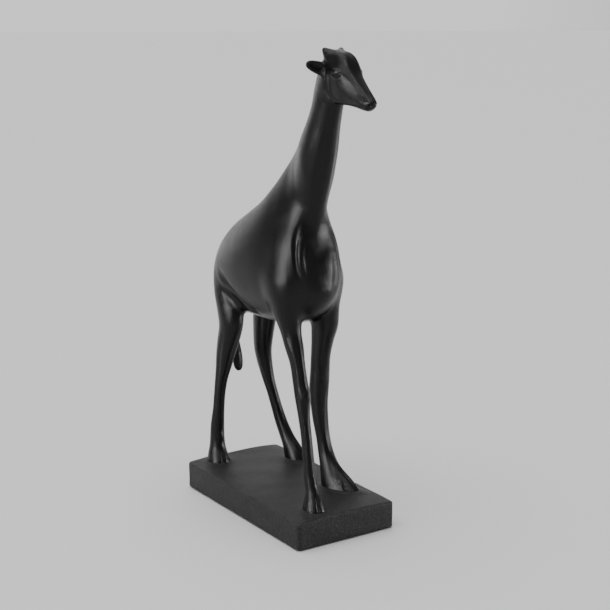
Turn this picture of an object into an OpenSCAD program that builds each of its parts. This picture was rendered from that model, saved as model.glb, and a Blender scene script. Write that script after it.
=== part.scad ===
// Standing giraffe statue on a rectangular plinth.
// A cast figure in fourteen visible castings, joined by steel rods, dowels and pegs.
// Frame: origin at the centre of the resting plane, +X towards the head,
// +Y towards the animal's left side, +Z up. Millimetres.

/* [Plinth] */
// Length of the plinth along X
plinth_length = 179.5; // [170:0.5:200]
// Width of the plinth along Y
plinth_width = 94; // [92:1:120]
// Height of the plinth's top above the resting plane
plinth_top = 24; // [18:0.2:26]
// Shift of the plinth's middle along X
plinth_shift_x = -0.75; // [-3:0.25:3]
// Shift of the plinth's middle along Y
plinth_shift_y = -1; // [-3:0.25:3]
// Radius of the plinth's upright corners
plinth_corner = 3; // [1:0.5:6]
// Radius of the plinth's eased edges
plinth_ease = 1.5; // [0.5:0.25:3]

/* [Felt] */
// Thickness of the felt sheet under the plinth
felt_thickness = 1; // [0.8:0.1:2]
// Distance of the felt's edge from the plinth's edge
felt_inset = 2; // [1:0.5:5]

/* [Armature] */
// Diameter of the steel rod in each leg
leg_rod_diameter = 3; // [2:0.5:3]
// Diameter of the steel dowel between torso and neck
neck_dowel_diameter = 6; // [4:0.5:8]
// Diameter of the steel pin between neck and head
head_pin_diameter = 4; // [3:0.5:5]
// Diameter of the steel wire in the tail
tail_wire_diameter = 1.5; // [1:0.1:1.6]
// Gap all round between a rod and its hole
rod_gap = 0.1; // [0.05:0.05:0.2]

/* [Fasteners] */
// Width of a rod nut across its flats
nut_flats = 5.5; // [5:0.1:6]
// Thickness of a rod nut
nut_thickness = 2.4; // [2:0.1:3]
// Diameter of a rod washer
washer_diameter = 8; // [7:0.5:9]
// Thickness of a rod washer
washer_thickness = 0.8; // [0.5:0.1:1]
// Diameter of the counterbore under the plinth
counterbore_diameter = 9; // [9:0.5:12]
// Depth of the counterbore above the felt
counterbore_depth = 6; // [5:0.5:8]

/* [Head trim] */
// Diameter of the peg that holds an ear or an ossicone
peg_diameter = 2.4; // [1.5:0.1:3]
// Length of the peg
peg_length = 4; // [3:0.5:5]
// Length of an ear outside the head
ear_length = 13.6; // [10:0.2:18]
// Length of an ossicone outside the head
ossicone_length = 5; // [4:0.5:8]

/* [Hidden] */

paint_black = [0.10, 0.10, 0.11];
felt_black = [0.05, 0.05, 0.05];
bright_steel = [0.70, 0.71, 0.73];

trunk_sides = 26;
leg_sides = 18;
rod_sides = 12;
ring_steps = 3;
bar_facets = 24;
round_facets = 32;
nut_sides = 6;
// A length past any face a hole runs out of.
through = 1;
// A length past the whole figure.
far = 400;

// Trunk, neck and head as one line of rings.
// Each row: top x, top z, bottom x, bottom z, half width, how much fuller the lower half is.
trunk = [
    [-86.5, 207, -87.0, 195, 5, 0],
    [-84.5, 219.5, -85.0, 181, 15, 0],
    [-75.5, 230.5, -75.0, 167, 25.5, 0],
    [-61.5, 242, -54.0, 161.5, 31, 0.05],
    [-41.0, 253.5, -30.0, 161, 34, 0.10],
    [-22.5, 265, -4.0, 161.5, 34, 0.15],
    [-9.0, 278, 21.0, 165, 32, 0.28],
    [2.0, 290, 43.0, 175, 28, 0.38],
    [11.5, 299, 55.5, 193, 21.5, 0.30],
    [18.0, 306.5, 51.5, 217, 15.5, 0.1],
    [23.0, 313, 43.5, 238, 13.6, 0.05],
    [27.0, 318.5, 45.5, 256, 13.6, 0.03],
    [31.4, 324, 54.0, 276, 14.2, 0.02],
    [36.2, 330.5, 62.5, 302, 13, 0],
    [39.8, 337, 67.2, 324, 11.6, 0],
    [42.6, 344, 73.0, 344, 10.7, 0],
    [46.6, 357, 74.0, 344, 10.9, 0],
    [52.6, 369.5, 75.0, 344, 11.8, -0.05],
    [61.0, 380, 76.5, 344, 12.6, -0.12],
    [74.5, 384, 79.5, 344.1, 13, -0.18],
    [86.0, 380, 85.5, 344.2, 12.4, -0.22],
    [94.8, 368, 92.5, 343.7, 9.6, -0.15],
    [103.0, 360, 99.5, 342.7, 7.4, -0.05],
    [111.0, 353.5, 106.0, 341.4, 6.2, 0],
    [116.0, 349.5, 111.5, 341, 4.8, 0],
    [118.0, 346.8, 116.0, 343, 1.8, 0]];
neck_seam = 11;
head_seam = 15;
// Ring up to which the trunk is cut out of the tail.
tail_seam = 4;

// Legs from the shoulder or haunch down to the sole, on the animal's own side.
// Each row: x, y, z, half length, half width, yaw.
front_right = [
    [23, -12, 238, 7, 4, 0],
    [23.5, -16.5, 224, 15, 9.5, 0],
    [24, -20.3, 208, 20.5, 12.6, 0],
    [26, -21.3, 194, 19, 12.6, 0],
    [29, -19.3, 178, 14, 11, 0],
    [33.5, -18.3, 162, 10, 8.3, 0],
    [39.2, -18.7, 150, 8.3, 7.4, 0],
    [44.3, -19, 138, 6.9, 6, 0],
    [48.5, -19.3, 124.7, 6.7, 6, 0],
    [52.3, -19.6, 113, 7, 6.2, 0],
    [55.5, -20.1, 97, 5.2, 4.9, 0],
    [59.3, -20.5, 82, 4.7, 4.6, 0],
    [63.2, -21, 62, 4.9, 4.8, 0],
    [65.8, -21.3, 49, 5.2, 5, 0],
    [69.5, -21.6, 39, 6.2, 5.2, 0],
    [72, -22, 31, 9, 7.3, 0],
    [73, -22, plinth_top, 10.8, 9.2, 0]];
front_left = [
    [22, 11, 236, 7, 4, 0],
    [22.5, 15.5, 222, 14.5, 9, 0],
    [24, 20, 208, 20.5, 12.2, 0],
    [24, 21, 194, 19, 12.6, 0],
    [24.3, 20.6, 178, 14.8, 11.3, 0],
    [24.2, 20.9, 162, 13.2, 10.6, 0],
    [21.2, 20.9, 148, 10.4, 8.9, 0],
    [17.6, 21.4, 132.7, 8.9, 7.9, 0],
    [16, 21.8, 118, 8.9, 8, 0],
    [14.5, 22, 105, 9, 8, 0],
    [14.2, 22.3, 92, 8, 7.2, 0],
    [15.9, 22.8, 76.4, 7, 6.5, 0],
    [18.9, 23.3, 63, 6.2, 6, 0],
    [23.2, 23.5, 50, 7.2, 6.4, 10],
    [29.7, 23.5, 40, 10, 7, 20],
    [38.5, 23.8, 31.5, 14.8, 7.8, 26],
    [45, 24.4, plinth_top, 18.5, 9, 28]];
hind_right = [
    [-64, -9, 224, 9, 6, 0],
    [-70, -12.5, 210, 13.5, 9.5, 0],
    [-72, -15, 195, 14.5, 11, 0],
    [-67.5, -17.5, 178, 15, 11, 0],
    [-60.5, -19.5, 163, 15, 10.2, 0],
    [-58.2, -20.4, 150, 13.2, 9.2, 0],
    [-62, -21, 136, 11.8, 8.7, 0],
    [-66, -21.5, 123.5, 10, 7.7, 0],
    [-69, -21.8, 112, 8.2, 6.6, 0],
    [-72.5, -22.3, 99.6, 6.3, 5.5, 0],
    [-75, -22.8, 86, 5.4, 5, 0],
    [-76.5, -23.2, 72, 5.5, 5.1, 0],
    [-78, -23.7, 58, 6.4, 5.9, 0],
    [-78.2, -24, 48, 7, 6.3, 0],
    [-77.3, -24.5, 37, 8.6, 7.3, 0],
    [-75.5, -25, 30, 10.6, 8.7, 0],
    [-74.5, -25, plinth_top, 11.4, 9.4, 0]];
hind_left = [
    [-64, 9, 224, 9, 6, 0],
    [-70, 12.5, 210, 13.5, 9.5, 0],
    [-73, 15, 195, 14.5, 11, 0],
    [-70.5, 18, 178, 15.2, 11, 0],
    [-67, 20.4, 162, 14.6, 10, 0],
    [-71, 21.4, 148, 13, 9, 0],
    [-76, 23.2, 131, 11, 8, 0],
    [-79, 24.8, 117, 9.2, 7.2, 0],
    [-78, 26.5, 104, 7.6, 6.3, 0],
    [-75, 28, 91.3, 6, 5.5, 0],
    [-70.7, 29.3, 80, 5.3, 5, 0],
    [-66, 30.9, 66.8, 5.4, 5.1, 0],
    [-60.6, 32.4, 53.9, 6.2, 5.6, 0],
    [-53.5, 33.9, 42.2, 7.8, 6.2, 5],
    [-46.5, 35, 33.5, 10, 7.2, 10],
    [-41, 35.6, plinth_top, 11.6, 8.6, 12]];
// Row of each leg's list at which the leg is parted from the torso.
leg_seam = 6;

// Steel rods inside the legs, from the torso down to the hoof.
front_right_route = [[27, -18.5, 192], [35, -18.3, 162], [49, -19.3, 124.7],
    [59.5, -20.5, 82], [66, -21.3, 49], [72.3, -22, 30]];
front_left_route = [[24, 19, 192], [22, 20.2, 156], [15.4, 21.5, 116],
    [15.6, 22.7, 82], [22, 23.5, 52], [37, 23.7, 33]];
hind_right_route = [[-62, -20.4, 192], [-60.5, -20.6, 156], [-69, -21.8, 112],
    [-75, -22.8, 86], [-78, -23.8, 56], [-76.5, -24.8, 32]];
hind_left_route = [[-64, 20.4, 192], [-69.5, 21.4, 156], [-78, 25.5, 112],
    [-74.2, 28.3, 88], [-60.6, 32.4, 53.9], [-45, 35.2, 33]];

// Tail: x, y, z, half depth, half width.
tail_line = [
    [-82.5, 0, 208, 3.5, 4.5],
    [-86.5, 0, 198, 2.8, 3.4],
    [-88.0, 0.6, 184, 2.3, 2.7],
    [-88.0, 0.8, 160, 2.0, 2.2],
    [-87.7, 0.8, 138, 2.0, 2.1],
    [-86.0, 1.4, 124, 2.6, 3.8],
    [-84.8, 1.6, 113, 3, 5],
    [-83.8, 1.8, 105, 2.6, 4.4],
    [-83.4, 2, 101, 1.4, 2.2]];
tail_route = [[-73, 0, 216], [-85.2, 0, 200], [-88, 0.7, 180], [-87.7, 0.8, 138], [-85.2, 1.5, 116]];

neck_dowel_ends = [[29, 0, 262], [48, 0, 312]];
head_pin_ends = [[53.5, 0, 331], [61, 0, 360]];

// Where each ear and ossicone leaves the head, on the right side, and the way it points.
ear_base = [66, -10.5, 370.5];
ear_way = [-0.32, -0.89, 0.32];
ossicone_base = [66.9, -6.5, 381.8];
ossicone_way = [-0.20, -0.06, 0.97];

// How far each peg reaches up into its piece from the base point.
ear_reach = 4;
ossicone_reach = 3;
// Clear space at a peg's end in its socket.
peg_end_gap = 0.5;

// Ear along its own +Z from tip to root: x, y, z, half height, half thickness.
ear_rows = [
    [0, 0, ear_length, 0.8, 0.5],
    [0, 0, 0.84 * ear_length, 2.7, 1.2],
    [0, 0, 0.59 * ear_length, 3.9, 1.8],
    [0, 0, 0.29 * ear_length, 4.8, 2.2],
    [0, 0, 0, 5.1, 2.5],
    [0, 0, -3, 5, 2.5]];

// Ossicone along its own +Z from tip to root: x, y, z, two half widths.
ossicone_rows = [
    [0, 0, ossicone_length, 0.8, 0.8],
    [0, 0, ossicone_length - 0.7, 3.1, 3.1],
    [0, 0, ossicone_length - 2.1, 4, 4],
    [0, 0, 0, 4.1, 4.1],
    [0, 0, -4, 4.9, 4.9]];

// How far a leg rod stands out below its nut.
rod_overhang = 1;
// Height at which each leg rod has turned upright.
foot_z = 26;
seat_z = felt_thickness + counterbore_depth;
rod_end_z = seat_z - washer_thickness - nut_thickness - rod_overhang;

// Value of a smooth curve through p1 and p2 at t between 0 and 1.
function curve(p0, p1, p2, p3, t) =
    0.5 * (2 * p1 + (p2 - p0) * t + (2 * p0 - 5 * p1 + 4 * p2 - p3) * t * t
        + (3 * p1 - p0 - 3 * p2 + p3) * t * t * t);

// Rows between first and last of a station list, with extra rows on a smooth curve.
function smooth_rows(list, first, last) =
    let (top = len(list) - 1)
    [for (i = [first:last - 1]) for (j = [0:ring_steps - 1])
        curve(list[max(i - 1, 0)], list[i], list[i + 1], list[min(i + 2, top)], j / ring_steps),
        list[last]];

// Points of a ring that stands across the trunk.
function trunk_ring(row) =
    let (centre = [(row[0] + row[2]) / 2, (row[1] + row[3]) / 2])
    let (half = [(row[0] - row[2]) / 2, (row[1] - row[3]) / 2])
    [for (i = [0:trunk_sides - 1])
        let (angle = 360 * i / trunk_sides)
        [centre[0] + half[0] * cos(angle),
            row[4] * sin(angle) * (1 - row[5] * cos(angle)),
            centre[1] + half[1] * cos(angle)]];

// Points of a level ring of a leg or the tail.
function level_ring(row) =
    let (yaw = len(row) > 5 ? row[5] : 0)
    [for (i = [0:leg_sides - 1])
        let (angle = 360 * i / leg_sides)
        let (along = row[3] * cos(angle))
        let (across = row[4] * sin(angle))
        [row[0] + along * cos(yaw) - across * sin(yaw),
            row[1] + along * sin(yaw) + across * cos(yaw), row[2]]];

// Closed solid through a list of rings, all with the same number of points.
module skin(rings) {
    sides = len(rings[0]);
    last = len(rings) - 1;
    start_cap = [for (i = [sides - 1:-1:0]) i];
    end_cap = [for (i = [0:sides - 1]) last * sides + i];
    walls = [for (r = [0:last - 1]) for (i = [0:sides - 1])
        let (a = r * sides + i)
        let (b = r * sides + (i + 1) % sides)
        each [[a, b + sides, a + sides], [a, b, b + sides]]];
    polyhedron(points = [for (ring = rings) each ring], faces = concat([start_cap], walls, [end_cap]));
}

module trunk_part(first, last) {
    skin([for (row = smooth_rows(trunk, first, last)) trunk_ring(row)]);
}

module leg_part(list, first, last) {
    skin([for (row = smooth_rows(list, first, last)) level_ring(row)]);
}

// Round bar between two points.
module bar(start, end, diameter) {
    way = end - start;
    translate(start)
        rotate([0, acos(way[2] / norm(way)), atan2(way[1], way[0])])
            cylinder(d = diameter, h = norm(way), $fn = bar_facets);
}

// Points of a round ring square to a direction that isn't along Y.
function round_ring(centre, way, radius) =
    let (u = cross([0, 1, 0], way) / norm(cross([0, 1, 0], way)))
    let (v = cross(way, u) / norm(way))
    [for (i = [0:rod_sides - 1])
        let (angle = 360 * i / rod_sides)
        centre + radius * (u * cos(angle) + v * sin(angle))];

// Bent round bar through a list of points.
module bent_bar(route, diameter) {
    line = smooth_rows(route, 0, len(route) - 1);
    last = len(line) - 1;
    skin([for (i = [0:last])
        round_ring(line[i], line[max(i - 1, 0)] - line[min(i + 1, last)], diameter / 2)]);
}

// Leg rod with its upright foot, ending at the height given.
module leg_bar(route, end_z, diameter) {
    foot = route[len(route) - 1];
    bent_bar(concat(route, [[foot[0], foot[1], foot_z], [foot[0], foot[1], end_z]]), diameter);
}

// Everything placed at the four hoofs' rod holes.
module at_each_rod() {
    for (route = [front_left_route, front_right_route, hind_left_route, hind_right_route])
        translate([route[len(route) - 1][0], route[len(route) - 1][1], 0])
            children();
}

// Rectangle with round corners.
module rounded_rectangle(length, width, radius) {
    square([length - 2 * radius, width], center = true);
    square([length, width - 2 * radius], center = true);
    for (x = [-1, 1])
        for (y = [-1, 1])
            translate([x * (length / 2 - radius), y * (width / 2 - radius)])
                circle(r = radius, $fn = round_facets);
}

module felt_pad() {
    color(felt_black)
        translate([plinth_shift_x, plinth_shift_y, 0])
            linear_extrude(felt_thickness)
                rounded_rectangle(plinth_length - 2 * felt_inset, plinth_width - 2 * felt_inset,
                    plinth_corner);
}

module plinth() {
    color(paint_black)
        difference() {
            translate([plinth_shift_x, plinth_shift_y, 0])
                plinth_block();
            at_each_rod()
                cylinder(d = leg_rod_diameter + 2 * rod_gap, h = far, $fn = bar_facets);
            at_each_rod()
                cylinder(d = counterbore_diameter, h = seat_z, $fn = round_facets);
        }
}

// Block with round upright corners whose long and cross outlines have eased edges.
module plinth_block() {
    middle = (plinth_top + felt_thickness) / 2;
    height = plinth_top - felt_thickness;
    intersection() {
        translate([0, 0, felt_thickness])
            linear_extrude(height)
                rounded_rectangle(plinth_length, plinth_width, plinth_corner);
        translate([0, far / 2, middle])
            rotate([90, 0, 0])
                linear_extrude(far)
                    rounded_rectangle(plinth_length, height, plinth_ease);
        translate([-far / 2, 0, middle])
            rotate([90, 0, 90])
                linear_extrude(far)
                    rounded_rectangle(plinth_width, height, plinth_ease);
    }
}

module torso() {
    color(paint_black)
        difference() {
            union() {
                trunk_part(0, neck_seam);
                leg_part(front_right, 0, leg_seam);
                leg_part(front_left, 0, leg_seam);
                leg_part(hind_right, 0, leg_seam);
                leg_part(hind_left, 0, leg_seam);
            }
            for (route = [front_left_route, front_right_route, hind_left_route, hind_right_route])
                bent_bar(route, leg_rod_diameter + 2 * rod_gap);
            dowel_hole(neck_dowel_ends, neck_dowel_diameter);
            bent_bar(tail_route, tail_wire_diameter + 2 * rod_gap);
        }
}

// Hole for a straight steel dowel between its two ends.
module dowel_hole(ends, diameter) {
    bar(ends[0], ends[1], diameter + 2 * rod_gap);
}

module neck() {
    color(paint_black)
        difference() {
            trunk_part(neck_seam, head_seam);
            dowel_hole(neck_dowel_ends, neck_dowel_diameter);
            dowel_hole(head_pin_ends, head_pin_diameter);
        }
}

module head() {
    color(paint_black)
        difference() {
            head_block();
            dowel_hole(head_pin_ends, head_pin_diameter);
            for (side = [0, 1])
                mirror([0, side, 0]) {
                    peg(ear_base, ear_way, ear_reach, rod_gap, peg_end_gap);
                    peg(ossicone_base, ossicone_way, ossicone_reach, rod_gap, peg_end_gap);
                }
        }
}

module head_block() {
    trunk_part(head_seam, len(trunk) - 1);
}

// Peg that runs back into the head from a piece's base point, and up into the piece.
module peg(base, way, reach, gap, end_gap) {
    back = peg_length + end_gap;
    bar(base - way / norm(way) * back, base + way / norm(way) * reach, peg_diameter + 2 * gap);
}

// Turns a piece modelled along +Z to lie along a direction, from a point.
module aim(base, way) {
    translate(base)
        rotate([0, acos(way[2] / norm(way)), atan2(way[1], way[0])])
            children();
}

// Right ear: a flat leaf cut to the head's surface, with its peg.
module ear() {
    difference() {
        aim(ear_base, ear_way)
            leg_part(ear_rows, 0, len(ear_rows) - 1);
        head_block();
    }
    peg(ear_base, ear_way, ear_reach, 0, 0);
}

// Right ossicone: a blunt knob cut to the head's surface, with its peg.
module ossicone() {
    difference() {
        aim(ossicone_base, ossicone_way)
            leg_part(ossicone_rows, 0, len(ossicone_rows) - 1);
        head_block();
    }
    peg(ossicone_base, ossicone_way, ossicone_reach, 0, 0);
}

module right_ear() {
    color(paint_black)
        ear();
}

module left_ear() {
    color(paint_black)
        mirror([0, 1, 0])
            ear();
}

module right_ossicone() {
    color(paint_black)
        ossicone();
}

module left_ossicone() {
    color(paint_black)
        mirror([0, 1, 0])
            ossicone();
}

// Lower part of a leg, from its seam to the sole, with the hole for its rod.
module leg(list, route) {
    color(paint_black)
        difference() {
            leg_part(list, leg_seam, len(list) - 1);
            leg_bar(route, 0, leg_rod_diameter + 2 * rod_gap);
        }
}

module front_left_leg() {
    leg(front_left, front_left_route);
}

module front_right_leg() {
    leg(front_right, front_right_route);
}

module hind_left_leg() {
    leg(hind_left, hind_left_route);
}

module hind_right_leg() {
    leg(hind_right, hind_right_route);
}

module tail() {
    color(paint_black)
        difference() {
            leg_part(tail_line, 0, len(tail_line) - 1);
            trunk_part(0, tail_seam);
            bent_bar(tail_route, tail_wire_diameter + 2 * rod_gap);
        }
}

module neck_dowel() {
    color(bright_steel)
        bar(neck_dowel_ends[0], neck_dowel_ends[1], neck_dowel_diameter);
}

module head_pin() {
    color(bright_steel)
        bar(head_pin_ends[0], head_pin_ends[1], head_pin_diameter);
}

module tail_wire() {
    color(bright_steel)
        bent_bar(tail_route, tail_wire_diameter);
}

module leg_rod(route) {
    color(bright_steel)
        leg_bar(route, rod_end_z, leg_rod_diameter);
}

module front_left_rod() {
    leg_rod(front_left_route);
}

module front_right_rod() {
    leg_rod(front_right_route);
}

module hind_left_rod() {
    leg_rod(hind_left_route);
}

module hind_right_rod() {
    leg_rod(hind_right_route);
}

// Rings on the four rods, from one height up to another.
module rod_rings(diameter, sides, low, high) {
    at_each_rod()
        translate([0, 0, low])
            difference() {
                cylinder(d = diameter, h = high - low, $fn = sides);
                translate([0, 0, -through])
                    cylinder(d = leg_rod_diameter + 2 * rod_gap, h = high - low + 2 * through,
                        $fn = bar_facets);
            }
}

module rod_washers() {
    color(bright_steel)
        rod_rings(washer_diameter, 32, seat_z - washer_thickness, seat_z);
}

module rod_nuts() {
    color(bright_steel)
        rod_rings(nut_flats / cos(30), nut_sides, seat_z - washer_thickness - nut_thickness,
            seat_z - washer_thickness);
}

plinth();
felt_pad();
torso();
neck();
head();
left_ear();
right_ear();
left_ossicone();
right_ossicone();
front_left_leg();
front_right_leg();
hind_left_leg();
hind_right_leg();
tail();
neck_dowel();
head_pin();
tail_wire();
front_left_rod();
front_right_rod();
hind_left_rod();
hind_right_rod();
rod_washers();
rod_nuts();
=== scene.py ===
import math

import bmesh
import bpy
import numpy as np
import openvdb as vdb
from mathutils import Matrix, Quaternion, Vector


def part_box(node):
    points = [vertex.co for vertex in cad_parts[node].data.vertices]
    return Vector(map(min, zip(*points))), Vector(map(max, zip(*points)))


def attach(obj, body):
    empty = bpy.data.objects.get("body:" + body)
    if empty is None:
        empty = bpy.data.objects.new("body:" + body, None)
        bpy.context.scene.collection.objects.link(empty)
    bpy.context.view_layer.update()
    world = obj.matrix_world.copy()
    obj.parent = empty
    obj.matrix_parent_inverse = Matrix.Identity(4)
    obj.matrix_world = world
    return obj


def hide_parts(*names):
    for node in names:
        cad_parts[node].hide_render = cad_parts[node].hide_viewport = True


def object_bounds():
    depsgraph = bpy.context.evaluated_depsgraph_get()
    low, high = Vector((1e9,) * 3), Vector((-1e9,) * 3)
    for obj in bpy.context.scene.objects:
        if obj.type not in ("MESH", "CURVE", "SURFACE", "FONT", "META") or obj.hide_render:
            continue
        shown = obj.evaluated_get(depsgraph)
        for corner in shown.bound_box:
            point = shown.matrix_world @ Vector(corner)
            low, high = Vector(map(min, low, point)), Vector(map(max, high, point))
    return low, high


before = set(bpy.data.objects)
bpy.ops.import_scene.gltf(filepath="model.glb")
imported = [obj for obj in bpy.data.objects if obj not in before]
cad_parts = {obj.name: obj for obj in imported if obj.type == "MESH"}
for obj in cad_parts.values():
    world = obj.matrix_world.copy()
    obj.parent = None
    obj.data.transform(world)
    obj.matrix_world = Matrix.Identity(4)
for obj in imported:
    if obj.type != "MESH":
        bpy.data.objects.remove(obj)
cad_low, cad_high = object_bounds()

MM = 0.001  # the outlines and points below are in millimetres
BODY_VOXEL = 0.85
HEAD_VOXEL = 0.38
FAR = 12.0  # distances are known this far from a surface, mm
TRUNK_SIDES = 120
LEG_SIDES = 56
STEPS = 8

# ---------------------------------------------------------------------------
# Outlines. Trunk rows: top x, top z, bottom x, bottom z, half width,
# how much fuller the lower half is, and how far the section is a face and not an ellipse.
# ---------------------------------------------------------------------------
TRUNK = [
    (-86.5, 207, -87.0, 195, 5, 0, 0),
    (-84.5, 219.5, -85.0, 181, 15, 0, 0),
    (-75.5, 230.5, -75.0, 167, 25.5, 0, 0),
    (-61.5, 242, -54.0, 161.5, 31, 0.05, 0),
    (-41.0, 253.5, -30.0, 161, 34, 0.10, 0),
    (-22.5, 265, -4.0, 161.5, 34, 0.15, 0),
    (-9.0, 278, 21.0, 165, 32, 0.28, 0),
    (2.0, 290.4, 43.0, 175, 27.2, 0.42, 0),
    (11.0, 300, 55.5, 193, 20, 0.42, 0),
    (17.6, 307.3, 52.5, 217, 14.6, 0.2, 0),
    (22.8, 313.5, 46.5, 238, 13, 0.08, 0),
    (27.0, 318.7, 47.5, 256, 13.2, 0.03, 0),
    (31.4, 324, 54.4, 276, 14.0, 0.02, 0),
    (36.2, 330.5, 62.5, 302, 13, 0, 0),
    (39.8, 337, 67.2, 324, 11.6, 0, 0),
    (42.6, 344, 73.0, 344, 10.7, 0, 0),
    (46.6, 357, 74.0, 344, 10.9, 0, 0.2),
    (52.6, 369.5, 75.0, 344, 11.8, 0, 0.5),
    (61.0, 380, 76.5, 344, 12.6, 0, 0.8),
    (74.5, 384, 79.5, 344.1, 13, 0, 1),
    (86.0, 380, 85.5, 344.2, 12.4, 0, 1),
    (94.8, 368, 92.5, 343.7, 9.8, 0, 0.7),
    (103.0, 360, 99.5, 342.7, 7.8, 0, 0.35),
    (111.0, 353.5, 106.0, 341.4, 6.4, 0, 0.1),
    (116.0, 349.5, 111.5, 341, 4.8, 0, 0),
    (118.0, 346.8, 116.0, 343, 1.8, 0, 0),
]
# Half of the face's section, from its top to its chin: across, up.
FACE = [
    (0, 1.0), (0.34, 0.99), (0.52, 0.92), (0.66, 0.76), (0.79, 0.5), (0.88, 0.2),
    (0.88, -0.06), (0.82, -0.36), (0.70, -0.72), (0.52, -0.93), (0.24, -0.99), (0, -1.0),
]

# Leg rows: x, y, z, half length, half width, yaw.
FRONT_RIGHT = [
    (23, -12, 238, 7, 4, 0), (23.5, -16.5, 224, 15, 9.5, 0), (24, -20.3, 208, 20.5, 12.6, 0),
    (26, -21.3, 194, 19, 12.6, 0), (29, -19.3, 178, 14, 11, 0), (33.5, -18.3, 162, 10, 8.3, 0),
    (39.2, -18.7, 150, 8.3, 7.4, 0), (44.3, -19, 138, 6.9, 6, 0), (48.5, -19.3, 124.7, 6.7, 6, 0),
    (52.3, -19.6, 113, 7, 6.2, 0), (55.5, -20.1, 97, 5.2, 4.9, 0), (59.3, -20.5, 82, 4.7, 4.6, 0),
    (63.2, -21, 62, 4.9, 4.8, 0), (65.8, -21.3, 49, 5.2, 5, 0), (69.5, -21.6, 39, 6.2, 5.2, 0),
    (71.6, -22, 32.5, 8.4, 6.8, 0), (72.6, -22, 26.5, 10.4, 8.8, 0), (73, -22, 22, 11.3, 9.6, 0),
]
FRONT_LEFT = [
    (22, 11, 236, 7, 4, 0), (22.5, 15.5, 222, 14.5, 9, 0), (24, 20, 208, 20.5, 12.2, 0),
    (24, 21, 194, 19, 12.6, 0), (24.3, 20.6, 178, 14.8, 11.3, 0), (24.2, 20.9, 162, 13.2, 10.6, 0),
    (21.2, 20.9, 148, 10.4, 8.9, 0), (17.6, 21.4, 132.7, 8.9, 7.9, 0), (16, 21.8, 118, 8.9, 8, 0),
    (14.5, 22, 105, 9, 8, 0), (14.2, 22.3, 92, 8, 7.2, 0), (15.9, 22.8, 76.4, 7, 6.5, 0),
    (18.9, 23.3, 63, 6.2, 6, 0), (23.2, 23.5, 50, 7.2, 6.4, 10), (29.7, 23.5, 40, 10, 7, 20),
    (38.5, 23.8, 31.5, 14.8, 7.8, 26), (45, 24.4, 22, 18.5, 9, 28),
]
HIND_RIGHT = [
    (-64, -9, 224, 9, 6, 0), (-70, -12.5, 210, 13.5, 9.5, 0), (-72, -15, 195, 14.5, 11, 0),
    (-67.5, -17.5, 178, 15, 11, 0), (-60.5, -19.5, 163, 15, 10.2, 0), (-58.2, -20.4, 150, 13.2, 9.2, 0),
    (-62, -21, 136, 11.8, 8.7, 0), (-66, -21.5, 123.5, 10, 7.7, 0), (-69, -21.8, 112, 8.2, 6.6, 0),
    (-72.5, -22.3, 99.6, 6.3, 5.5, 0), (-75, -22.8, 86, 5.4, 5, 0), (-76.5, -23.2, 72, 5.5, 5.1, 0),
    (-78, -23.7, 58, 6.4, 5.9, 0), (-78.2, -24, 48, 6.9, 6.2, 0), (-77.3, -24.5, 38, 8.0, 6.8, 0),
    (-75.5, -25, 30.5, 10.4, 8.5, 0), (-74.5, -25, 25.5, 11.8, 9.8, 0), (-74.5, -25, 22, 12.0, 10, 0),
]
HIND_LEFT = [
    (-64, 9, 224, 9, 6, 0), (-70, 12.5, 210, 13.5, 9.5, 0), (-73, 15, 195, 14.5, 11, 0),
    (-70.5, 18, 178, 15.2, 11, 0), (-67, 20.4, 162, 14.6, 10, 0), (-71, 21.4, 148, 13, 9, 0),
    (-76, 23.2, 131, 11, 8, 0), (-79, 24.8, 117, 9.2, 7.2, 0), (-78, 26.5, 104, 7.6, 6.3, 0),
    (-75, 28, 91.3, 6, 5.5, 0), (-70.7, 29.3, 80, 5.3, 5, 0), (-66, 30.9, 66.8, 5.4, 5.1, 0),
    (-60.6, 32.4, 53.9, 6.2, 5.6, 0), (-53.5, 33.9, 42.2, 7.8, 6.2, 5), (-46.5, 35, 33.5, 10, 7.2, 10),
    (-41, 35.6, 22, 11.6, 8.6, 12),
]
TAIL = [
    (-82.5, 0, 208, 3.5, 4.5, 0), (-86.5, 0, 198, 2.8, 3.4, 0), (-88.0, 0.6, 184, 2.3, 2.7, 0),
    (-88.0, 0.8, 160, 2.0, 2.2, 0), (-87.7, 0.8, 138, 2.0, 2.1, 0), (-86.0, 1.4, 124, 2.6, 3.8, 0),
    (-84.8, 1.6, 113, 3, 5, 0), (-83.8, 1.8, 105, 2.6, 4.4, 0), (-83.4, 2, 101, 1.4, 2.2, 0),
]

# Ear along its own axis from root to tip: along, half height, half thickness.
EAR = [
    (-3, 5.0, 2.5), (0, 5.1, 2.5), (4, 4.9, 2.3), (8, 4.2, 1.9), (11, 3.3, 1.5), (12.9, 2.1, 1.0),
    (13.6, 0.8, 0.5),
]
EAR_CUP = [(-0.5, 1.4, 0.9), (1.5, 3.1, 1.7), (5, 3.5, 1.7), (9, 2.7, 1.2), (11.8, 0.8, 0.4)]
EAR_CUP_FORWARD = 1.9
EAR_BASE = (66, -10.5, 370.5)
EAR_WAY = (-0.32, -0.89, 0.32)
# Ossicone in the same way, leaning back and out.
OSSICONE = [
    (-3, 9.5, 9.5), (0, 8.6, 8.6), (4, 6.2, 6.2), (8, 3.6, 3.6), (10.5, 2.1, 2.1), (11.6, 1.2, 1.2),
    (12, 0.4, 0.4),
]
OSSICONE_BASE = (69.4, -2.6, 377.5)
OSSICONE_WAY = (-0.50, -0.50, 0.70)

# Seams between the castings. The legs' seams come from the frame.
TAIL_SEAM_Z = 176
HEAD_SEAM_Z = 342.5
NECK_SEAM = ((45.5, 0, 256), (27, 0, 318.5))
EAR_SEAM, OSSICONE_SEAM = 1.5, 6.5  # along each one's own axis
TRIM_REACH = 7  # an ear or ossicone lies within this of its own axis

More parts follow.
